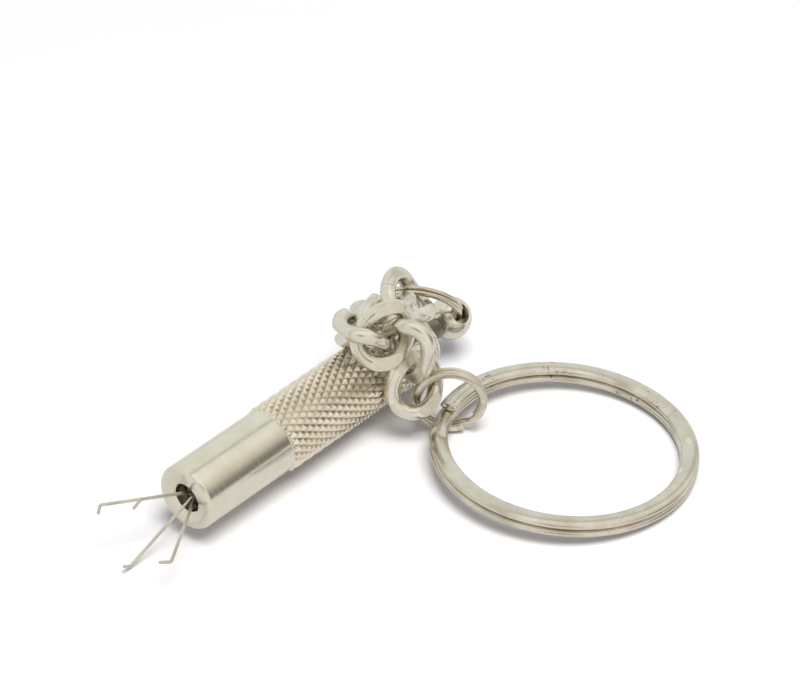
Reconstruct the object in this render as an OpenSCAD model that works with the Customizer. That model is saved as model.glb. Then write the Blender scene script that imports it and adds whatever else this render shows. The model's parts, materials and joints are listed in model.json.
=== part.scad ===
// Key-chain claw gripper: a tube with a sliding plunger that spreads and closes four
// spring-wire claws, a ball knob, a short curb chain, a jump ring and a key ring.
// Millimetres. +Z is up from the surface that it lies on. The tube runs along X, with
// the claws at its low end. The origin is under the middle of the whole object.

/* [Nose and barrel] */
// Outside diameter of the smooth nose
nose_d = 6.4; // [6:0.1:6.5]
// Length of the smooth nose
nose_len = 11; // [9:0.5:12]
// Rounding of the nose's front edge
nose_round = 0.8; // [0.4:0.1:1]
// Diameter of the bore that the claws come out of
mouth_d = 2.8; // [2.8:0.1:3]
// Outside diameter of the knurled barrel
barrel_d = 6.8; // [6.8:0.1:7]
// Length of the knurled barrel
barrel_len = 20.8; // [20:0.1:22]
// Height of the tube's axis above the surface
axis_z = 4.65; // [4.6:0.05:5]

/* [Plunger] */
// Travel of the plunger, from pushed in to pulled back
travel = 3.5; // [3:0.5:3.5]
// Diameter of the plunger's rod
rod_d = 2; // [1.8:0.1:2.2]
// Diameter of the ball knob
ball_d = 4.2; // [4:0.1:4.4]
// Diameter of the cross-hole in the ball knob
cross_hole_d = 1.9; // [1.8:0.1:2]
// Turn of the cross-hole about the tube's axis
cross_hole_roll = 42; // [30:1:45]

/* [Claws] */
// Diameter of the claws' wire
claw_wire = 0.3; // [0.25:0.05:0.3]
// Length of a claw from its root to its bend
claw_arm = 8.4; // [8:0.1:8.7]
// Angle of an open claw to the tube's axis
claw_splay = 29; // [25:1:30]
// Length of a claw's hooked tip
hook_len = 1.1; // [1:0.1:1.2]
// Angle of a hooked tip to the tube's axis, inwards
hook_in = 38; // [30:1:45]
// Turn of the four claws about the tube's axis
claw_roll = 12; // [0:1:20]

/* [Chain and rings] */
// Length of a chain link over its centre line
link_len = 5.7; // [5.6:0.1:5.8]
// Width of a chain link over its centre line
link_w = 4.5; // [4.4:0.1:4.6]
// Twist of a chain link out of its plane
link_twist = 0.5; // [0.4:0.1:0.6]
// Thickness of a chain link's wire
link_wire = 1.5; // [1.3:0.1:1.5]
// Outside diameter of the ring in the ball knob
knob_ring_d = 8; // [7.8:0.1:8.2]
// Outside diameter of the jump ring
jump_ring_d = 7; // [6.8:0.1:7.2]
// Outside diameter of the key ring
key_ring_d = 25; // [24:0.5:25]

/* [Hidden] */
$fn = 64;

// Where the origin is, from the mouth of the nose on the surface
origin_at = [17.9, -12.8, 0];

// Places along the tube, from the mouth at 0
barrel_end = nose_len + barrel_len;
spigot_len = 5;
spigot_d = 5.2;
chamber_d = 4.5;
chamber_front = nose_len + spigot_len;
collar_len = 2.2;
collar_gap = 0.05;
chamber_rear = chamber_front + collar_len + travel + 2 * collar_gap;
plug_recess = 0.3;
plug_bore_d = rod_d + 0.1;
ball_x = barrel_end + 4.8;
ferrule_x = 1.2;
ferrule_len = 5;
ferrule_d = mouth_d - 0.15;
claw_root_x = 1;
claw_root_r = 0.37;
claw_step = 90;

// Rings: two flat coils side by side, each coil's width across the ring and its height
coil_groove = 0.08;
small_coil = [0.7, 0.45];
jump_coil = [0.8, 0.5];
key_coil = [1.7, 0.85];
cross_drop = 0.26;
knob_ring_lean = 47;

// Chain links from the knob ring to the jump ring: each one's centre from the mouth
// on the surface, and its turns about X, Y and Z
link_places = [
    [[31.2, 0.6, 9.7], [35, 0, 45]],
    [[28, 0.7, 10], [0, 24, 82]],
    [[24.9, 0.9, 10.2], [-42, 46, 50]],
    [[22.3, -1.5, 11.6], [32, 30, 40]],
    [[23.5, -3.3, 11.5], [57, -29, -2]],
    [[25.3, -4.7, 9.6], [37, 81, 36]],
    [[25.5, -5.2, 5.9], [45, -55, 23]]
];
jump_ring_at = [[27.7, -7.6, 3.8], [0, 90, -140]];
key_ring_at = [[31.1, -18.6, 1.8], [0, 4, -45]];
link_steps = 36;
link_sides = 10;

// A unit vector
function unit(v) = v / norm(v);

// A point on a link's centre line, and the direction of the wire there
function link_point(a) =
    [link_len / 2 * cos(a), link_w / 2 * sin(a), link_twist * sin(2 * a)];
function link_run(a) =
    unit([-link_len / 2 * sin(a), link_w / 2 * cos(a), 2 * link_twist * cos(2 * a)]);

// The corners round a link's wire at the angle a
function link_section(a) =
    let (run = link_run(a), out = unit(cross(run, [0, 0, 1])), up = cross(out, run))
    [for (k = [0 : link_sides - 1])
        let (b = 360 * k / link_sides)
        link_point(a) + link_wire / 2 * (cos(b) * out + sin(b) * up)];

// Moves what is drawn from the mouth's frame to the object's own
module placed() {
    translate(-origin_at) children();
}

// Draws along the tube: local Z runs from the mouth to the rear
module on_axis(x = 0) {
    placed() translate([x, 0, axis_z]) rotate([0, 90, 0]) children();
}

// A ring or link at a place of [centre, turns]
module at_place(place) {
    placed() translate(place[0]) rotate(place[1]) children();
}

// A bored or solid round bar along local Z
module tube(d, len, bore = 0) {
    difference() {
        cylinder(d = d, h = len);
        if (bore > 0) translate([0, 0, -1]) cylinder(d = bore, h = len + 2);
    }
}

// A ring of two coils that lie on each other, flat on the XY plane about its centre
module split_ring(d, coil, corner) {
    width = coil[0];
    height = coil[1];
    rotate_extrude($fn = 96) {
        for (side = [-1, 1]) {
            mid = side * height / 2;
            polygon([
                [d / 2 - width, mid - height / 2 + corner],
                [d / 2 - width + corner, mid - height / 2],
                [d / 2 - corner, mid - height / 2],
                [d / 2, mid - height / 2 + corner],
                [d / 2, mid + height / 2 - corner],
                [d / 2 - corner, mid + height / 2],
                [d / 2 - width + corner, mid + height / 2],
                [d / 2 - width, mid + height / 2 - corner]
            ]);
        }
    }
}

// One curb link, swept as a closed loop
module curb_link() {
    points = [for (i = [0 : link_steps - 1]) each link_section(360 * i / link_steps)];
    faces = [
        for (i = [0 : link_steps - 1], k = [0 : link_sides - 1])
            let (j = (i + 1) % link_steps, m = (k + 1) % link_sides)
            each [
                [i * link_sides + k, i * link_sides + m, j * link_sides + m],
                [i * link_sides + k, j * link_sides + m, j * link_sides + k]
            ]
    ];
    polyhedron(points, faces);
}

// Smooth front of the tube, with a spigot pressed into the barrel
module nose_cap() {
    color("silver") on_axis() difference() {
        rotate_extrude() polygon(concat(
            [[0, 0]],
            [for (a = [0 : 10 : 90])
                [nose_d / 2 - nose_round + nose_round * sin(a), nose_round * (1 - cos(a))]],
            [[nose_d / 2, nose_len], [spigot_d / 2, nose_len],
             [spigot_d / 2, chamber_front], [0, chamber_front]]
        ));
        translate([0, 0, -1]) cylinder(d = mouth_d, h = chamber_front + 2);
        translate([0, 0, -0.01]) cylinder(d1 = mouth_d + 0.4, d2 = mouth_d, h = 0.2);
    }
}

// Knurled sleeve that is held, with a chamber for the stop collar
module knurled_barrel() {
    color("tan") on_axis(nose_len) difference() {
        rotate_extrude() polygon([
            [0, 0], [barrel_d / 2 - 0.2, 0], [barrel_d / 2, 0.2],
            [barrel_d / 2, barrel_len - 0.3], [barrel_d / 2 - 0.3, barrel_len],
            [0, barrel_len]
        ]);
        translate([0, 0, -1]) cylinder(d = chamber_d, h = barrel_len + 2);
        translate([0, 0, -1]) cylinder(d = spigot_d, h = spigot_len + 1);
        translate([0, 0, chamber_rear - nose_len])
            cylinder(d = spigot_d, h = barrel_len);
    }
}

// Guide bush pressed into the barrel's rear, which the rod slides in
module rear_plug() {
    color("silver") on_axis(chamber_rear)
        tube(spigot_d, barrel_end - plug_recess - chamber_rear, plug_bore_d);
}

// Rod of the plunger, from the ferrule to the ball knob
module plunger_rod() {
    color("silver") on_axis(ferrule_x + ferrule_len)
        cylinder(d = rod_d, h = ball_x - ball_d / 2 + 0.1 - ferrule_x - ferrule_len);
}

// Collar on the rod that stops the plunger at both ends of the chamber
module stop_collar() {
    color("silver") on_axis(chamber_front + collar_gap)
        tube(chamber_d - 0.15, collar_len, rod_d);
}

// Ferrule at the rod's front end, which the four wires are crimped in
module claw_ferrule() {
    color("silver") on_axis(ferrule_x) cylinder(d = ferrule_d, h = ferrule_len);
}

// Ball knob with its cross-hole, on the rod's rear end
module ball_knob() {
    color("silver") on_axis(ball_x) difference() {
        sphere(d = ball_d);
        rotate([0, 0, -cross_hole_roll]) rotate([90, 0, 0])
            cylinder(d = cross_hole_d, h = ball_d + 1, center = true);
        translate([0, 0, -ball_d]) cylinder(d = rod_d, h = ball_d / 2 + 0.1);
    }
}

// One spring-wire claw: a straight arm, a bend and a hooked tip
module claw(turn) {
    color("silver") on_axis(claw_root_x) rotate([0, 0, turn])
        translate([0, claw_root_r, 0]) rotate([180 + claw_splay, 0, 0]) {
            cylinder(d = claw_wire, h = claw_arm, $fn = 24);
            translate([0, 0, claw_arm]) {
                sphere(d = 1.05 * claw_wire, $fn = 24);
                rotate([-hook_in - claw_splay, 0, 0])
                    cylinder(d = claw_wire, h = hook_len, $fn = 24);
            }
        }
}

// Small split ring through the ball knob, leaning forward over the barrel
module knob_ring() {
    reach = knob_ring_d / 2 - small_coil[0] / 2 - cross_drop;
    color("silver") on_axis(ball_x) rotate([0, 0, -cross_hole_roll])
        rotate([0, knob_ring_lean, 0]) translate([0, 0, -reach]) rotate([0, 90, 0])
            split_ring(knob_ring_d, small_coil, coil_groove);
}

// One link of the curb chain
module chain_link(index) {
    color("lightgray") at_place(link_places[index]) curb_link();
}

// Small split ring between the chain and the key ring
module jump_ring() {
    color("lightgray") at_place(jump_ring_at) split_ring(jump_ring_d, jump_coil, coil_groove);
}

// Key ring
module key_ring() {
    color("silver") at_place(key_ring_at) split_ring(key_ring_d, key_coil, 3 * coil_groove);
}

nose_cap();
knurled_barrel();
rear_plug();
plunger_rod();
stop_collar();
claw_ferrule();
ball_knob();
claw(claw_roll);  // claw_1
claw(claw_roll + claw_step);  // claw_2
claw(claw_roll + 2 * claw_step);  // claw_3
claw(claw_roll + 3 * claw_step);  // claw_4
knob_ring();
chain_link(0);  // chain_link_1
chain_link(1);  // chain_link_2
chain_link(2);  // chain_link_3
chain_link(3);  // chain_link_4
chain_link(4);  // chain_link_5
chain_link(5);  // chain_link_6
chain_link(6);  // chain_link_7
jump_ring();
key_ring();
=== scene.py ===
"""Key-chain claw gripper: the nickel-plated tool, its curb chain and its split rings.

Every piece rides on its CAD body. Lengths in this file are millimetres until a mesh is
made, and places come from the frame's nodes, joints and boxes.
"""
import json
import math

import bmesh
import bpy
import numpy as np
from mathutils import Matrix, Vector


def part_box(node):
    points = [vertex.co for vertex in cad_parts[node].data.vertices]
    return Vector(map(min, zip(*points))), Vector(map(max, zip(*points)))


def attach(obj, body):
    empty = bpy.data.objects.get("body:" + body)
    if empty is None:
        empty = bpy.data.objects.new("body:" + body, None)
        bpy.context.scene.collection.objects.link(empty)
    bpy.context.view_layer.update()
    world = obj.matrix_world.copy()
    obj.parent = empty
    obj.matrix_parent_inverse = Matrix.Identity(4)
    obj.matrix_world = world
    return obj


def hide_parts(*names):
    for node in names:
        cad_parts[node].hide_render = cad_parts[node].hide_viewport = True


MM = 0.001

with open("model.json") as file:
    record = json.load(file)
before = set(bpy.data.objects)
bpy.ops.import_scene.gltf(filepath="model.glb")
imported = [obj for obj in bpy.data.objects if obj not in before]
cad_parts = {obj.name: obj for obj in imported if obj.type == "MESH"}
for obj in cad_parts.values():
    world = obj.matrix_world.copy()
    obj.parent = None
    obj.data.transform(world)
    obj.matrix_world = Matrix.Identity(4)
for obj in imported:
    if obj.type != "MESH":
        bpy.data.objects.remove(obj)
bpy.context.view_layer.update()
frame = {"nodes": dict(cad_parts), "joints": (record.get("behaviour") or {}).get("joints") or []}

# ---------------------------------------------------------------- driving sizes, mm
NOSE_ROUND = 0.8
NOSE_DISH = 0.14
MOUTH_R = 1.4
MOUTH_FLARE = 0.16
SPIGOT_LEN = 5
FIT_R = 2.6

KNURLS = 27
KNURL_REPEATS = 15
KNURL_SUB = 4
KNURL_DEPTH = 0.27
KNURL_SLOPE = 1.12
LAND = 0.16
CHAMBER_R = 2.25

CLAW_WIRE = 0.3
CLAW_ARM = 8.4
CLAW_SPLAY = math.radians(29)
HOOK_LEN = 1.1
HOOK_IN = math.radians(38)
HOOK_BEND = 0.32

CROSS_HOLE_R = 0.95
BALL_R = 2.1

LINK_LEN = 5.7
LINK_WIDTH = 4.5
LINK_TWIST = 0.5
LINK_WIRE = 1.48
LINK_FLAT = 0.93

RAMP = math.radians(26)
COIL_FIT = 0.985
KNOB_COIL = (0.7, 0.45)
JUMP_COIL = (0.8, 0.5)
KEY_COIL = (1.7, 0.85)


# ---------------------------------------------------------------- mesh helpers
def add_piece(name, bm, material, body, node, sharp=30):
    """Makes an object of the bmesh, which rides on a body and stands for a CAD node."""
    bmesh.ops.recalc_face_normals(bm, faces=bm.faces)
    mesh = bpy.data.meshes.new(name)
    bm.to_mesh(mesh)
    bm.free()
    mesh.shade_smooth()
    mesh.set_sharp_from_angle(angle=math.radians(sharp))
    mesh.materials.append(material)
    obj = bpy.data.objects.new(name, mesh)
    bpy.context.scene.collection.objects.link(obj)
    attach(obj, body)
    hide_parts(node)
    return obj


def rounded(corners, steps=5, closed=True):
    """An outline with its corners rounded. Each corner is (u, v, radius)."""
    out = []
    count = len(corners)
    for i, (u, v, radius) in enumerate(corners):
        here = Vector((u, v))
        if radius <= 0 or (not closed and i in (0, count - 1)):
            out.append(here)
            continue
        before = Vector(corners[i - 1][:2]) - here
        after = Vector(corners[(i + 1) % count][:2]) - here
        half = before.angle(after) / 2
        reach = min(radius / math.tan(half), before.length * 0.49, after.length * 0.49)
        radius = reach * math.tan(half)
        middle = here + (before.normalized() + after.normalized()).normalized() * (
            radius / math.sin(half)
        )
        first = here + before.normalized() * reach - middle
        last = here + after.normalized() * reach - middle
        swing = first.angle_signed(last)
        for k in range(steps + 1):
            turned = first.copy()
            turned.rotate(Matrix.Rotation(-swing * k / steps, 2))
            out.append(middle + turned)
    return out


def skin(bm, rings, closed_run):
    """Joins rings of vertices with quads. closed_run joins the last ring to the first."""
    rows = len(rings)
    last_row = rows if closed_run else rows - 1
    for i in range(last_row):
        here, there = rings[i], rings[(i + 1) % rows]
        sides = len(here)
        for k in range(sides):
            m = (k + 1) % sides
            bm.faces.new((here[k], here[m], there[m], there[k]))


def cap(bm, tip, ring):
    """Closes an end with a fan of triangles from its tip."""
    centre = bm.verts.new(tip)
    for k in range(len(ring)):
        bm.faces.new((centre, ring[k], ring[(k + 1) % len(ring)]))


def lathe(outline, segments=128, closed=True):
    """Turns an outline of (along, radius) about X. An open outline ends on the axis."""
    bm = bmesh.new()
    angles = [2 * math.pi * k / segments for k in range(segments)]
    body = outline if closed else outline[1:-1]
    rings = [
        [bm.verts.new((x, r * math.cos(a), r * math.sin(a))) for a in angles]
        for x, r in body
    ]
    skin(bm, rings, closed_run=closed)
    if not closed:
        for tip, ring in ((outline[0], rings[0]), (outline[-1], rings[-1])):
            cap(bm, (tip[0], 0, 0), ring)
    return bm


def sweep(sections, tips=None):
    """Skins a row of sections. With tips, its two end points, it is open and capped."""
    bm = bmesh.new()
    rings = [[bm.verts.new(p) for p in section] for section in sections]
    skin(bm, rings, closed_run=tips is None)
    for tip, ring in zip(tips or (), (rings[0], rings[-1])):
        cap(bm, tip, ring)
    return bm


def place(bm, matrix):
    """Moves a mesh in millimetres to its place in metres."""
    bmesh.ops.transform(bm, matrix=Matrix.Scale(MM, 4), verts=bm.verts)
    bmesh.ops.transform(bm, matrix=matrix, verts=bm.verts)
    return bm


def round_section(point, side, up, radius, sides):
    """A circle of points about a place on a wire, in the plane of side and up."""
    angles = [2 * math.pi * k / sides for k in range(sides)]
    return [
        point + side * (radius * math.cos(a)) + up * (radius * math.sin(a)) for a in angles
    ]


# ---------------------------------------------------------------- places from the frame
nose_low, nose_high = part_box("nose_cap")
barrel_low, barrel_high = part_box("knurled_barrel")
axis_y = (barrel_low.y + barrel_high.y) / 2
axis_z = (barrel_low.z + barrel_high.z) / 2
tube_at = Matrix.Translation((nose_low.x, axis_y, axis_z))
joints = {joint["name"]: joint for joint in frame["joints"]}


def along(node):
    """A node's first and last place along the tube, in mm from the mouth."""
    low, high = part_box(node)
    return (low.x - nose_low.x) / MM, (high.x - nose_low.x) / MM


def radius_of(node):
    """The largest radius of a turned node, in mm."""
    low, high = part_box(node)
    return (high.z - low.z) / 2 / MM


def node_frame(node):
    """A link's or ring's place: centre of its surface, X its longest way, Z its flat axis."""
    mesh = frame["nodes"][node].data
    centres = np.array([p.center for p in mesh.polygons])
    areas = np.array([p.area for p in mesh.polygons])
    centre = (centres * areas[:, None]).sum(0) / areas.sum()
    offsets = centres - centre
    _, axes = np.linalg.eigh((offsets * areas[:, None]).T @ offsets)
    z_axis = Vector(axes[:, 0]).normalized()
    x_axis = Vector(axes[:, 2]).normalized()
    y_axis = z_axis.cross(x_axis)
    turn = Matrix((x_axis, y_axis, z_axis)).transposed().to_4x4()
    return Matrix.Translation(centre) @ turn


def ring_frame(node, towards):
    """A ring's place with Z up its axis and X turned towards a direction."""
    matrix = node_frame(node)
    z_axis = matrix.to_3x3().col[2].normalized()
    if z_axis.z < 0:
        z_axis = -z_axis
    x_axis = Vector(towards)
    x_axis = (x_axis - z_axis * x_axis.dot(z_axis)).normalized()
    y_axis = z_axis.cross(x_axis)
    turn = Matrix((x_axis, y_axis, z_axis)).transposed().to_4x4()
    return Matrix.Translation(matrix.translation) @ turn


def ring_radius(node):
    """Outside radius of a ring's node, in mm."""
    to_local = node_frame(node).inverted()
    local = [to_local @ v.co for v in frame["nodes"][node].data.vertices]
    return max(math.hypot(v.x, v.y) for v in local) / MM


# ---------------------------------------------------------------- materials
def new_material(name):
    """A node material, with its nodes and links."""
    material = bpy.data.materials.new(name)
    material.use_nodes = True
    tree = material.node_tree
    return material, tree, tree.nodes["Principled BSDF"]


def add_node(tree, kind, settings=None, **inputs):
    """Adds a node. settings are its properties, inputs its sockets by name."""
    node = tree.nodes.new(kind)
    for key, value in (settings or {}).items():
        setattr(node, key, value)
    for key, value in inputs.items():
        node.inputs[key.replace("_", " ")].default_value = value
    return node


def noise(tree, coords, scale, detail=4.0, rough=0.55):
    """Noise of a given number of features a metre."""
    node = add_node(tree, "ShaderNodeTexNoise", Scale=scale, Detail=detail, Roughness=rough)
    tree.links.new(coords, node.inputs["Vector"])
    return node.outputs["Fac"]


def stretched(tree, coords, scales):
    """Coordinates scaled by different amounts, for drawn and turned marks."""
    node = add_node(tree, "ShaderNodeMapping")
    node.inputs["Scale"].default_value = scales
    tree.links.new(coords, node.inputs["Vector"])
    return node.outputs["Vector"]


def spread(tree, value, low, high, to_low, to_high):
    """Maps a value from one range to another, clamped."""
    node = add_node(tree, "ShaderNodeMapRange")
    for socket, number in zip(node.inputs[1:5], (low, high, to_low, to_high)):
        socket.default_value = number
    tree.links.new(value, node.inputs["Value"])
    return node.outputs["Result"]


def mixed(tree, factor, a, b, blend="MIX"):
    """Mixes two colours, each a colour or a socket, by a number or a socket."""
    node = add_node(tree, "ShaderNodeMix", {"data_type": "RGBA", "blend_type": blend})
    if hasattr(factor, "node"):
        tree.links.new(factor, node.inputs[0])
    else:
        node.inputs[0].default_value = factor
    for socket, value in ((node.inputs[6], a), (node.inputs[7], b)):
        if hasattr(value, "node"):
            tree.links.new(value, socket)
        else:
            socket.default_value = (*value, 1)
    return node.outputs[2]


def combine(tree, operation, a, b):
    """Maths on two sockets or numbers."""
    node = add_node(tree, "ShaderNodeMath", {"operation": operation})
    for socket, value in zip(node.inputs, (a, b)):
        if hasattr(value, "node"):
            tree.links.new(value, socket)
        else:
            socket.default_value = value
    return node.outputs[0]


def facing(tree, vector, towards):
    """How far a vector reaches in a direction: its cosine when the vector is one long."""
    node = add_node(tree, "ShaderNodeVectorMath", {"operation": "DOT_PRODUCT"})
    tree.links.new(vector, node.inputs[0])
    node.inputs[1].default_value = Vector(towards).normalized()
    return node.outputs["Value"]


def nickel(name, tint, stain, gloss, marks, pits=None, bump=0.25, grooves=None):
    """Nickel plate: cloudy tint, drawn or turned marks, fine grain, pits, and painted shade in
    the grooves with a painted highlight on the sharp points.

    pits says how far towards PITTED_SIDE the pits start and where they are fully there.
    """
    material, tree, shader = new_material(name)
    shader.inputs["Metallic"].default_value = 1.0
    coords = add_node(tree, "ShaderNodeTexCoord").outputs["Object"]

    clouds = noise(tree, coords, 420)
    grain = noise(tree, coords, 9000, detail=3)
    lines = noise(tree, stretched(tree, coords, marks), 1, detail=3)

    colour = mixed(tree, spread(tree, clouds, 0.35, 0.7, 0, 1), tint, stain)
    rough = combine(
        tree,
        "ADD",
        spread(tree, lines, 0.3, 0.75, gloss[0], gloss[1]),
        spread(tree, clouds, 0.4, 0.7, 0, 0.06),
    )
    height = combine(tree, "ADD", lines, combine(tree, "MULTIPLY", grain, 0.5))

    if pits:
        spots = noise(tree, coords, 3100, detail=2)
        region = spread(tree, noise(tree, coords, 230, detail=1), 0.42, 0.52, 0, 0.9)
        side = spread(tree, facing(tree, coords, PITTED_SIDE), pits[0], pits[1], 0, 1)
        mask = combine(tree, "MULTIPLY", spread(tree, spots, 0.60, 0.66, 0, 1), region)
        mask = combine(tree, "MULTIPLY", mask, side)
        colour = mixed(tree, mask, colour, (0.10, 0.075, 0.05))
        height = combine(tree, "SUBTRACT", height, mask)
    # grooves scales a painted shade in hollow places, found by Pointiness; it also turns on a painted
    # highlight on sharp points.
    if grooves:
        depth = add_node(tree, "ShaderNodeNewGeometry").outputs["Pointiness"]
        shade = spread(tree, depth, 0.40, 0.50, 1, 0)
        colour = mixed(tree, combine(tree, "MULTIPLY", shade, grooves), colour, (0.26, 0.21, 0.15))
        # Painted highlight: sharp points and edges turn near white.
        edges = spread(tree, depth, 0.52, 0.60, 0, 0.5)
        colour = mixed(tree, edges, colour, (0.95, 0.93, 0.88))

    raised = add_node(tree, "ShaderNodeBump", Strength=bump, Distance=0.00002)
    tree.links.new(height, raised.inputs["Height"])
    tree.links.new(colour, shader.inputs["Base Color"])
    tree.links.new(rough, shader.inputs["Roughness"])
    tree.links.new(raised.outputs["Normal"], shader.inputs["Normal"])
    return material


# The pits fade in towards the key ring's far side.
PITTED_SIDE = (0.76, 0.65, 0)
# Marks a metre along X, Y and Z: rings round a turned piece, lines along a wire, or neither.
TURNED = (2600, 300, 300)
DRAWN = (500, 2200, 2200)
TUMBLED = (900, 900, 900)
nose_nickel = nickel(
    "Polished_nickel", (0.80, 0.765, 0.665), (0.73, 0.69, 0.57), (0.14, 0.24), TURNED, bump=0.12
)
knurl_nickel = nickel(
    "Knurled_nickel", (0.86, 0.79, 0.67), (0.75, 0.68, 0.56), (0.18, 0.30), TUMBLED, grooves=0.5
)
# Darker metal for the rod, collar and bush, darkened further as painted shade for the inside of the
# tube.
dark_nickel_and_shade = nickel(
    "Dark_nickel_and_painted_shade", (0.34, 0.32, 0.28), (0.20, 0.18, 0.15), (0.30, 0.45), TURNED
)
# The ferrule sits deep in the mouth; its near-black tint is painted shade for the inside of the
# mouth.
shaded_ferrule_metal = nickel(
    "Ferrule_painted_shade", (0.15, 0.14, 0.12), (0.09, 0.08, 0.07), (0.35, 0.50), TURNED
)
spring_wire = nickel(
    "Spring_wire", (0.74, 0.71, 0.63), (0.56, 0.52, 0.43), (0.24, 0.38), DRAWN
)
chain_nickel = nickel(
    "Chain_nickel", (0.80, 0.77, 0.68), (0.68, 0.64, 0.54), (0.14, 0.28), TUMBLED,
    grooves=0.45,
)
ring_nickel = nickel(
    "Ring_nickel", (0.73, 0.68, 0.58), (0.63, 0.56, 0.45), (0.16, 0.28), DRAWN, grooves=0.4
)
key_nickel = nickel(
    "Key_ring_nickel", (0.73, 0.69, 0.61), (0.60, 0.55, 0.46), (0.14, 0.24), DRAWN,
    pits=(10 * MM, 14 * MM), grooves=0.4,
)


# ---------------------------------------------------------------- the tube
def make_nose():
    """Smooth nose with a rounded rim and a shallow dished face round the mouth."""
    radius = radius_of("nose_cap")
    first, last = along("nose_cap")
    rear = along("knurled_barrel")[0]
    spigot_rear = min(rear + SPIGOT_LEN, last)
    outline = rounded(
        [
            (first + NOSE_DISH + MOUTH_FLARE, MOUTH_R, 0.05),
            (first + NOSE_DISH, MOUTH_R + MOUTH_FLARE, 0.06),
            (first, radius - NOSE_ROUND * 1.15, 0.5),
            (first, radius, NOSE_ROUND),
            (rear, radius, 0.07),
            (rear, FIT_R, 0.02),
            (spigot_rear, FIT_R, 0.1),
            (spigot_rear, MOUTH_R, 0.05),
        ],
        steps=10,
    )
    bm = place(lathe(outline, 160), tube_at)
    add_piece("nose_shell", bm, nose_nickel, "barrel", "nose_cap")


def knurl_height(row, column):
    """Height of the knurling, 0 in its grooves and 1 on its points."""
    heights = []
    for turn in ((row + column) / (2 * KNURL_SUB), (row - column) / (2 * KNURL_SUB)):
        heights.append(min(1, 2 * abs(turn - round(turn)) * KNURL_SLOPE))
    return min(heights)


def make_barrel():
    """Knurled sleeve: two crossing sets of cut grooves between plain chamfered ends."""
    radius = radius_of("knurled_barrel")
    first, last = along("knurled_barrel")
    plug_front = along("rear_plug")[0]
    chamber_front = first + SPIGOT_LEN
    columns = KNURLS * 2 * KNURL_SUB
    rows = KNURL_REPEATS * 2 * KNURL_SUB
    knurl_first, knurl_last = first + LAND, last - 0.3
    root = radius - KNURL_DEPTH
    angles = [2 * math.pi * j / columns for j in range(columns)]

    bm = bmesh.new()

    def ring(x, radii):
        return [
            bm.verts.new((x, r * math.cos(a), r * math.sin(a))) for a, r in zip(angles, radii)
        ]

    def plain(x, r):
        return ring(x, [r] * columns)

    rings = [plain(first, root - 0.02), plain(first + 0.06, root + 0.07)]
    knurl_start = len(rings)
    for i in range(rows + 1):
        x = knurl_first + (knurl_last - knurl_first) * i / rows
        fade = min(1, i / 3 + 0.3, (rows - i) / 3)
        rings.append(
            ring(x, [root + KNURL_DEPTH * fade * knurl_height(i, j) for j in range(columns)])
        )
    rings += [
        plain(last, radius - 0.45),
        plain(last, FIT_R),
        plain(plug_front, FIT_R),
        plain(plug_front, CHAMBER_R),
        plain(chamber_front, CHAMBER_R),
        plain(chamber_front, FIT_R),
        plain(first, FIT_R),
    ]
    for n, here in enumerate(rings):
        there = rings[(n + 1) % len(rings)]
        i = n - knurl_start
        for j in range(columns):
            m = (j + 1) % columns
            corners = here[j], there[j], there[m], here[m]
            knurled = 0 <= i < rows
            if knurled and (i + j + 1) % (2 * KNURL_SUB) == 0:
                bm.faces.new((corners[0], corners[1], corners[3]))
                bm.faces.new((corners[1], corners[2], corners[3]))
            elif knurled and (i - j) % (2 * KNURL_SUB) == 0:
                bm.faces.new((corners[0], corners[1], corners[2]))
                bm.faces.new((corners[0], corners[2], corners[3]))
            else:
                bm.faces.new(corners)
    place(bm, tube_at)
    add_piece("knurled_sleeve", bm, knurl_nickel, "barrel", "knurled_barrel", 24)


def make_plug():
    """Guide bush with a bevelled bore, pressed into the barrel's rear."""
    first, last = along("rear_plug")
    bore = radius_of("plunger_rod") + 0.05
    outline = rounded(
        [
            (first, bore, 0.05),
            (first, FIT_R, 0.1),
            (last, FIT_R, 0.12),
            (last, bore + 0.18, 0.04),
            (last - 0.18, bore, 0.03),
        ]
    )
    bm = place(lathe(outline, 96), tube_at)
    add_piece("guide_bush", bm, dark_nickel_and_shade, "barrel", "rear_plug")


def make_plunger():
    """Rod, stop collar and the domed ferrule that the wires are crimped in."""
    first, last = along("plunger_rod")
    radius = radius_of("plunger_rod")
    outline = rounded(
        [(first, 0, 0), (first, radius, 0.05), (last, radius, 0.05), (last, 0, 0)], closed=False
    )
    bm = place(lathe(outline, 96, closed=False), tube_at)
    add_piece("slide_rod", bm, dark_nickel_and_shade, "plunger", "plunger_rod")

    first, last = along("stop_collar")
    outer = radius_of("stop_collar")
    corners = [(first, radius, 0.03), (first, outer, 0.15), (last, outer, 0.15), (last, radius, 0.03)]
    bm = place(lathe(rounded(corners), 96), tube_at)
    add_piece("stop_ring", bm, dark_nickel_and_shade, "plunger", "stop_collar")

    first, last = along("claw_ferrule")
    outer = radius_of("claw_ferrule")
    corners = [
        (first + 0.1, 0, 0),
        (first, outer * 0.6, 0.3),
        (first + 0.3, outer, 0.25),
        (last, outer, 0.1),
        (last, 0, 0),
    ]
    bm = place(lathe(rounded(corners, closed=False), 96, closed=False), tube_at)
    add_piece("crimp_ferrule", bm, shaded_ferrule_metal, "plunger", "claw_ferrule")


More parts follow.
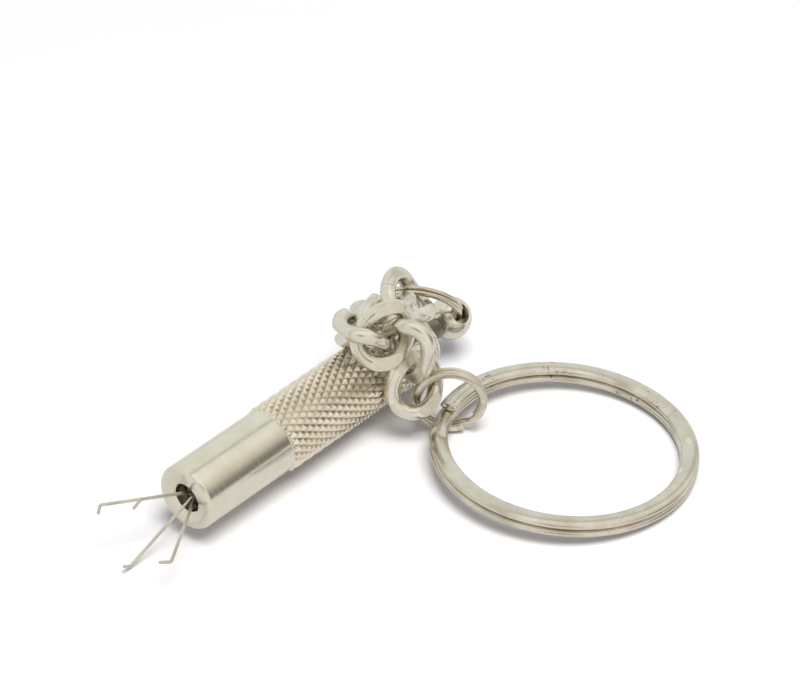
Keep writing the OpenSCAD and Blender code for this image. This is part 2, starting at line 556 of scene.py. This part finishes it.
def make_ball():
    """Ball knob, turned about its cross-hole so that the hole's rims are true rounds."""
    half_hole = math.asin((CROSS_HOLE_R + 0.12) / BALL_R)
    steps = 60
    arc = [
        half_hole + (math.pi - 2 * half_hole) * k / steps for k in range(steps + 1)
    ]
    rim = BALL_R * math.cos(half_hole)
    outline = [Vector((-BALL_R * math.cos(a), BALL_R * math.sin(a))) for a in arc]
    outline += [
        Vector((rim - 0.05, CROSS_HOLE_R + 0.04)),
        Vector((rim - 0.14, CROSS_HOLE_R)),
        Vector((0.14 - rim, CROSS_HOLE_R)),
        Vector((0.05 - rim, CROSS_HOLE_R + 0.04)),
    ]
    low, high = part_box("ball_knob")
    hole_axis = Vector(joints["knob_ring_swing"]["axis"]).normalized()
    turn = Vector((1, 0, 0)).rotation_difference(hole_axis).to_matrix().to_4x4()
    bm = place(lathe(outline, 128), Matrix.Translation((low + high) / 2) @ turn)
    add_piece("knob_ball", bm, nose_nickel, "plunger", "ball_knob")


# ---------------------------------------------------------------- claws
def claw_path():
    """Centre line of a claw and its run, in its own plane: X along the tube, Y outwards."""
    arm = Vector((-math.cos(CLAW_SPLAY), math.sin(CLAW_SPLAY)))
    hook = Vector((-math.cos(HOOK_IN), -math.sin(HOOK_IN)))
    bend = arm * CLAW_ARM
    corners = [
        (0, 0, 0),
        (bend.x, bend.y, HOOK_BEND),
        (bend.x + hook.x * HOOK_LEN, bend.y + hook.y * HOOK_LEN, 0),
    ]
    return rounded(corners, steps=10, closed=False)


def make_claw(number):
    """One spring-wire claw with a rounded bend and a rounded tip."""
    joint = joints[f"claw_{number}_flex"]
    hinge = Vector(joint["axis"]).normalized()
    outwards = hinge.cross(Vector((1, 0, 0)))
    turn = Matrix((Vector((1, 0, 0)), outwards, hinge)).transposed().to_4x4()
    path = [Vector((p.x, p.y, 0)) for p in claw_path()]
    last = len(path) - 1
    runs = [(path[min(i + 1, last)] - path[max(i - 1, 0)]).normalized() for i in range(last + 1)]
    path.insert(last, path[last] - runs[last] * CLAW_WIRE * 0.25)
    runs.append(runs[last])
    radii = [CLAW_WIRE / 2] * (last + 1) + [CLAW_WIRE / 2 * 0.55]
    up = Vector((0, 0, 1))
    sections = [
        round_section(point, up.cross(run), up, radius, 20)
        for point, run, radius in zip(path, runs, radii)
    ]
    bm = sweep(sections, tips=(path[0], path[-1]))
    place(bm, Matrix.Translation(joint["pos_m"]) @ turn)
    add_piece(
        f"claw_wire_{number}", bm, spring_wire, f"claw_{number}", f"claw_{number}"
    )


# ---------------------------------------------------------------- chain
def link_steps(count, seam_at):
    """Angles round a link, closer together at the butt seam of its wire."""
    angles = [2 * math.pi * i / count for i in range(count)]
    angles += [seam_at + offset for offset in (-0.02, -0.007, 0.007, 0.02)]
    return sorted(angles)


def make_link(number):
    """One curb link: twisted round wire, filed flat on both faces, with a butt seam."""
    seam = math.radians(93 if number % 2 else 272)
    sections = []
    for a in link_steps(120, seam):
        point = Vector(
            (
                LINK_LEN / 2 * math.cos(a),
                LINK_WIDTH / 2 * math.sin(a),
                LINK_TWIST * math.sin(2 * a),
            )
        )
        run = Vector(
            (
                -LINK_LEN / 2 * math.sin(a),
                LINK_WIDTH / 2 * math.cos(a),
                2 * LINK_TWIST * math.cos(2 * a),
            )
        ).normalized()
        out = run.cross(Vector((0, 0, 1))).normalized()
        up = out.cross(run)
        radius = LINK_WIRE / 2 * (0.93 if abs(a - seam) < 0.01 else 1)
        sections.append(round_section(point, out, up, radius, 28))
    bm = sweep(sections)
    for side in (-1, 1):
        cut = bmesh.ops.bisect_plane(
            bm,
            geom=bm.verts[:] + bm.edges[:] + bm.faces[:],
            plane_co=(0, 0, side * LINK_FLAT),
            plane_no=(0, 0, side),
            clear_outer=True,
        )
        rim = [e for e in cut["geom_cut"] if isinstance(e, bmesh.types.BMEdge)]
        bmesh.ops.edgenet_fill(bm, edges=rim)
    node = f"chain_link_{number}"
    place(bm, node_frame(node))
    add_piece(f"curb_link_{number}", bm, chain_nickel, node, node, 22)


# ---------------------------------------------------------------- rings
def coil_section(width, height, power):
    """A flattened wire's outline: an ellipse at power 2, and squarer above that."""
    sides = 32
    points = []
    for k in range(sides):
        a = 2 * math.pi * k / sides
        u = math.copysign(abs(math.cos(a)) ** (2 / power), math.cos(a))
        v = math.copysign(abs(math.sin(a)) ** (2 / power), math.sin(a))
        points.append((u * width / 2, v * height / 2))
    return points


def make_split_ring(name, node, coil, towards, power, steps, material):
    """Two turns of flattened wire, crossing from the lower to the upper turn at one place."""
    width, height = coil
    radius = ring_radius(node) - width / 2
    section = coil_section(width, height * COIL_FIT, power)
    total = 4 * math.pi - RAMP
    angles = [RAMP / 2 + total * i / steps for i in range(steps + 1)]
    tip = 0.12 / radius
    angles = [angles[0], angles[0] + tip, *angles[1:-1], angles[-1] - tip, angles[-1]]
    sections = []
    for n, a in enumerate(angles):
        climb = min(1, max(0, (a - 2 * math.pi) / RAMP + 0.5))
        climb = climb * climb * (3 - 2 * climb)
        scale = 0.82 if n in (0, len(angles) - 1) else 1
        out = Vector((math.cos(a), math.sin(a), 0))
        centre = out * radius + Vector((0, 0, height * (climb - 0.5)))
        sections.append([centre + (out * u + Vector((0, 0, v))) * scale for u, v in section])
    tips = [sum(section, Vector()) / len(section) for section in (sections[0], sections[-1])]
    bm = sweep(sections, tips)
    place(bm, ring_frame(node, towards))
    add_piece(name, bm, material, node, node, 50)


# ---------------------------------------------------------------- build
make_nose()
make_barrel()
make_plug()
make_plunger()
make_ball()
for claw_number in range(1, 5):
    make_claw(claw_number)
for link_number in range(1, 8):
    make_link(link_number)

make_split_ring("knob_split_ring", "knob_ring", KNOB_COIL, (0, 1, -1), 2.3, 260, ring_nickel)
make_split_ring("jump_split_ring", "jump_ring", JUMP_COIL, (0, -1, -1), 2.3, 260, ring_nickel)
make_split_ring("key_split_ring", "key_ring", KEY_COIL, (-0.6, 1, 0), 2.05, 420, key_nickel)


# ---------------------------------------------------------------- floor, lights, camera
def make_floor():
    """A plain pale floor, large enough to fill every view, and a little darker in the metal."""
    material, tree, shader = new_material("Floor_white")
    coords = add_node(tree, "ShaderNodeTexCoord").outputs["Object"]
    colour = mixed(tree, noise(tree, coords, 40), (0.90, 0.90, 0.90), (0.91, 0.91, 0.905))
    mirrored = add_node(tree, "ShaderNodeLightPath").outputs["Is Glossy Ray"]
    colour = mixed(tree, mirrored, colour, (0.70, 0.70, 0.69))
    tree.links.new(colour, shader.inputs["Base Color"])
    shader.inputs["Roughness"].default_value = 0.9
    shader.inputs["Specular IOR Level"].default_value = 0.1
    bm = bmesh.new()
    bmesh.ops.create_grid(bm, x_segments=2, y_segments=2, size=3)
    mesh = bpy.data.meshes.new("studio_floor")
    bm.to_mesh(mesh)
    bm.free()
    mesh.materials.append(material)
    floor = bpy.data.objects.new("studio_floor", mesh)
    bpy.context.scene.collection.objects.link(floor)


DARK_CORNER = (0.61, -0.78, 0.12)
# How bright the walls are, by the cosine of the angle from the dark corner.
CORNER_SHADES = [(0.70, 1.0), (0.86, 0.82), (0.93, 0.66), (0.965, 0.45), (0.985, 0.28), (1.0, 0.20)]
THIN_STRIP = (0, -0.96, 0.28)
LIGHT_BACK = Vector((-0.16, -0.32, 0.93)).normalized()
LIGHT_DISTANCE = 800 * MM
LIGHT_SIZE = 420 * MM
LIGHT_POWER = 6.3
CAMERA_AIM = Vector((9.6, 11.15, 8.27)) * MM
CAMERA_AZIMUTH = math.radians(-49)
CAMERA_ELEVATION = math.radians(36.3)
CAMERA_DISTANCE = 360 * MM
CAMERA_BACK = Vector(
    (
        math.sin(CAMERA_AZIMUTH) * math.cos(CAMERA_ELEVATION),
        -math.cos(CAMERA_AZIMUTH) * math.cos(CAMERA_ELEVATION),
        math.sin(CAMERA_ELEVATION),
    )
)


def make_camera():
    """A long lens, looking down on the object from beside the claws."""
    data = bpy.data.cameras.new("Camera")
    data.sensor_width = 36
    data.lens = 174
    data.clip_start = 0.01
    camera = bpy.data.objects.new("Camera", data)
    bpy.context.scene.collection.objects.link(camera)
    camera.location = CAMERA_AIM + CAMERA_BACK * CAMERA_DISTANCE
    camera.rotation_mode = "QUATERNION"
    camera.rotation_quaternion = (-CAMERA_BACK).to_track_quat("-Z", "Y")
    bpy.context.scene.camera = camera


def make_key_light():
    """One large soft light above the camera's side, which the metal doesn't mirror."""
    data = bpy.data.lights.new("Key_light", "AREA")
    data.shape = "RECTANGLE"
    data.size, data.size_y = LIGHT_SIZE, LIGHT_SIZE
    data.energy = LIGHT_POWER
    data.color = (1.0, 0.99, 0.97)
    lamp = bpy.data.objects.new("Key_light", data)
    bpy.context.scene.collection.objects.link(lamp)
    lamp.location = Vector((0, 0, 4)) * MM + LIGHT_BACK * LIGHT_DISTANCE
    lamp.rotation_mode = "QUATERNION"
    lamp.rotation_quaternion = (-LIGHT_BACK).to_track_quat("-Z", "Y")
    lamp.visible_glossy = False


def make_world():
    """Studio surroundings: pale walls, one dark corner, a dark camera and a thin strip.

    The metal mirrors them, and the floor is lit by an even grey of the same strength.
    """
    world = bpy.data.worlds.new("Studio")
    bpy.context.scene.world = world
    world.use_nodes = True
    tree = world.node_tree
    background = tree.nodes["Background"]
    direction = add_node(tree, "ShaderNodeTexCoord").outputs["Generated"]

    far_side = spread(tree, facing(tree, direction, (0, 1, 0)), -0.4, 0.4, 0, 1)
    colour = mixed(tree, far_side, (0.93, 0.89, 0.80), (0.86, 0.89, 0.84))
    overhead = spread(tree, facing(tree, direction, (0, 0, 1)), 0.72, 0.95, 0, 1)
    colour = mixed(tree, overhead, colour, (1.0, 1.0, 0.97))

    corner = add_node(tree, "ShaderNodeValToRGB")
    tree.links.new(facing(tree, direction, DARK_CORNER), corner.inputs["Fac"])
    elements = corner.color_ramp.elements
    for _ in range(len(CORNER_SHADES) - 2):
        elements.new(0.5)
    for element, (position, shade) in zip(elements, CORNER_SHADES):
        element.position = position
        element.color = (shade, shade, shade, 1)
    colour = mixed(tree, 1, colour, corner.outputs["Color"], "MULTIPLY")

    strip = combine(tree, "ABSOLUTE", facing(tree, direction, THIN_STRIP), 0)
    colour = mixed(tree, spread(tree, strip, 0.045, 0.10, 0.6, 0), colour, (0.35, 0.34, 0.32))
    camera = spread(tree, facing(tree, direction, CAMERA_BACK), 0.955, 0.99, 0, 0.75)
    colour = mixed(tree, camera, colour, (0.12, 0.10, 0.09))

    rays = add_node(tree, "ShaderNodeLightPath")
    colour = mixed(tree, rays.outputs["Is Diffuse Ray"], colour, (0.36, 0.35, 0.38))
    tree.links.new(colour, background.inputs["Color"])
    background.inputs["Strength"].default_value = 1.0


make_floor()
make_camera()
make_world()
make_key_light()
bpy.context.scene.view_settings.view_transform = "Standard"
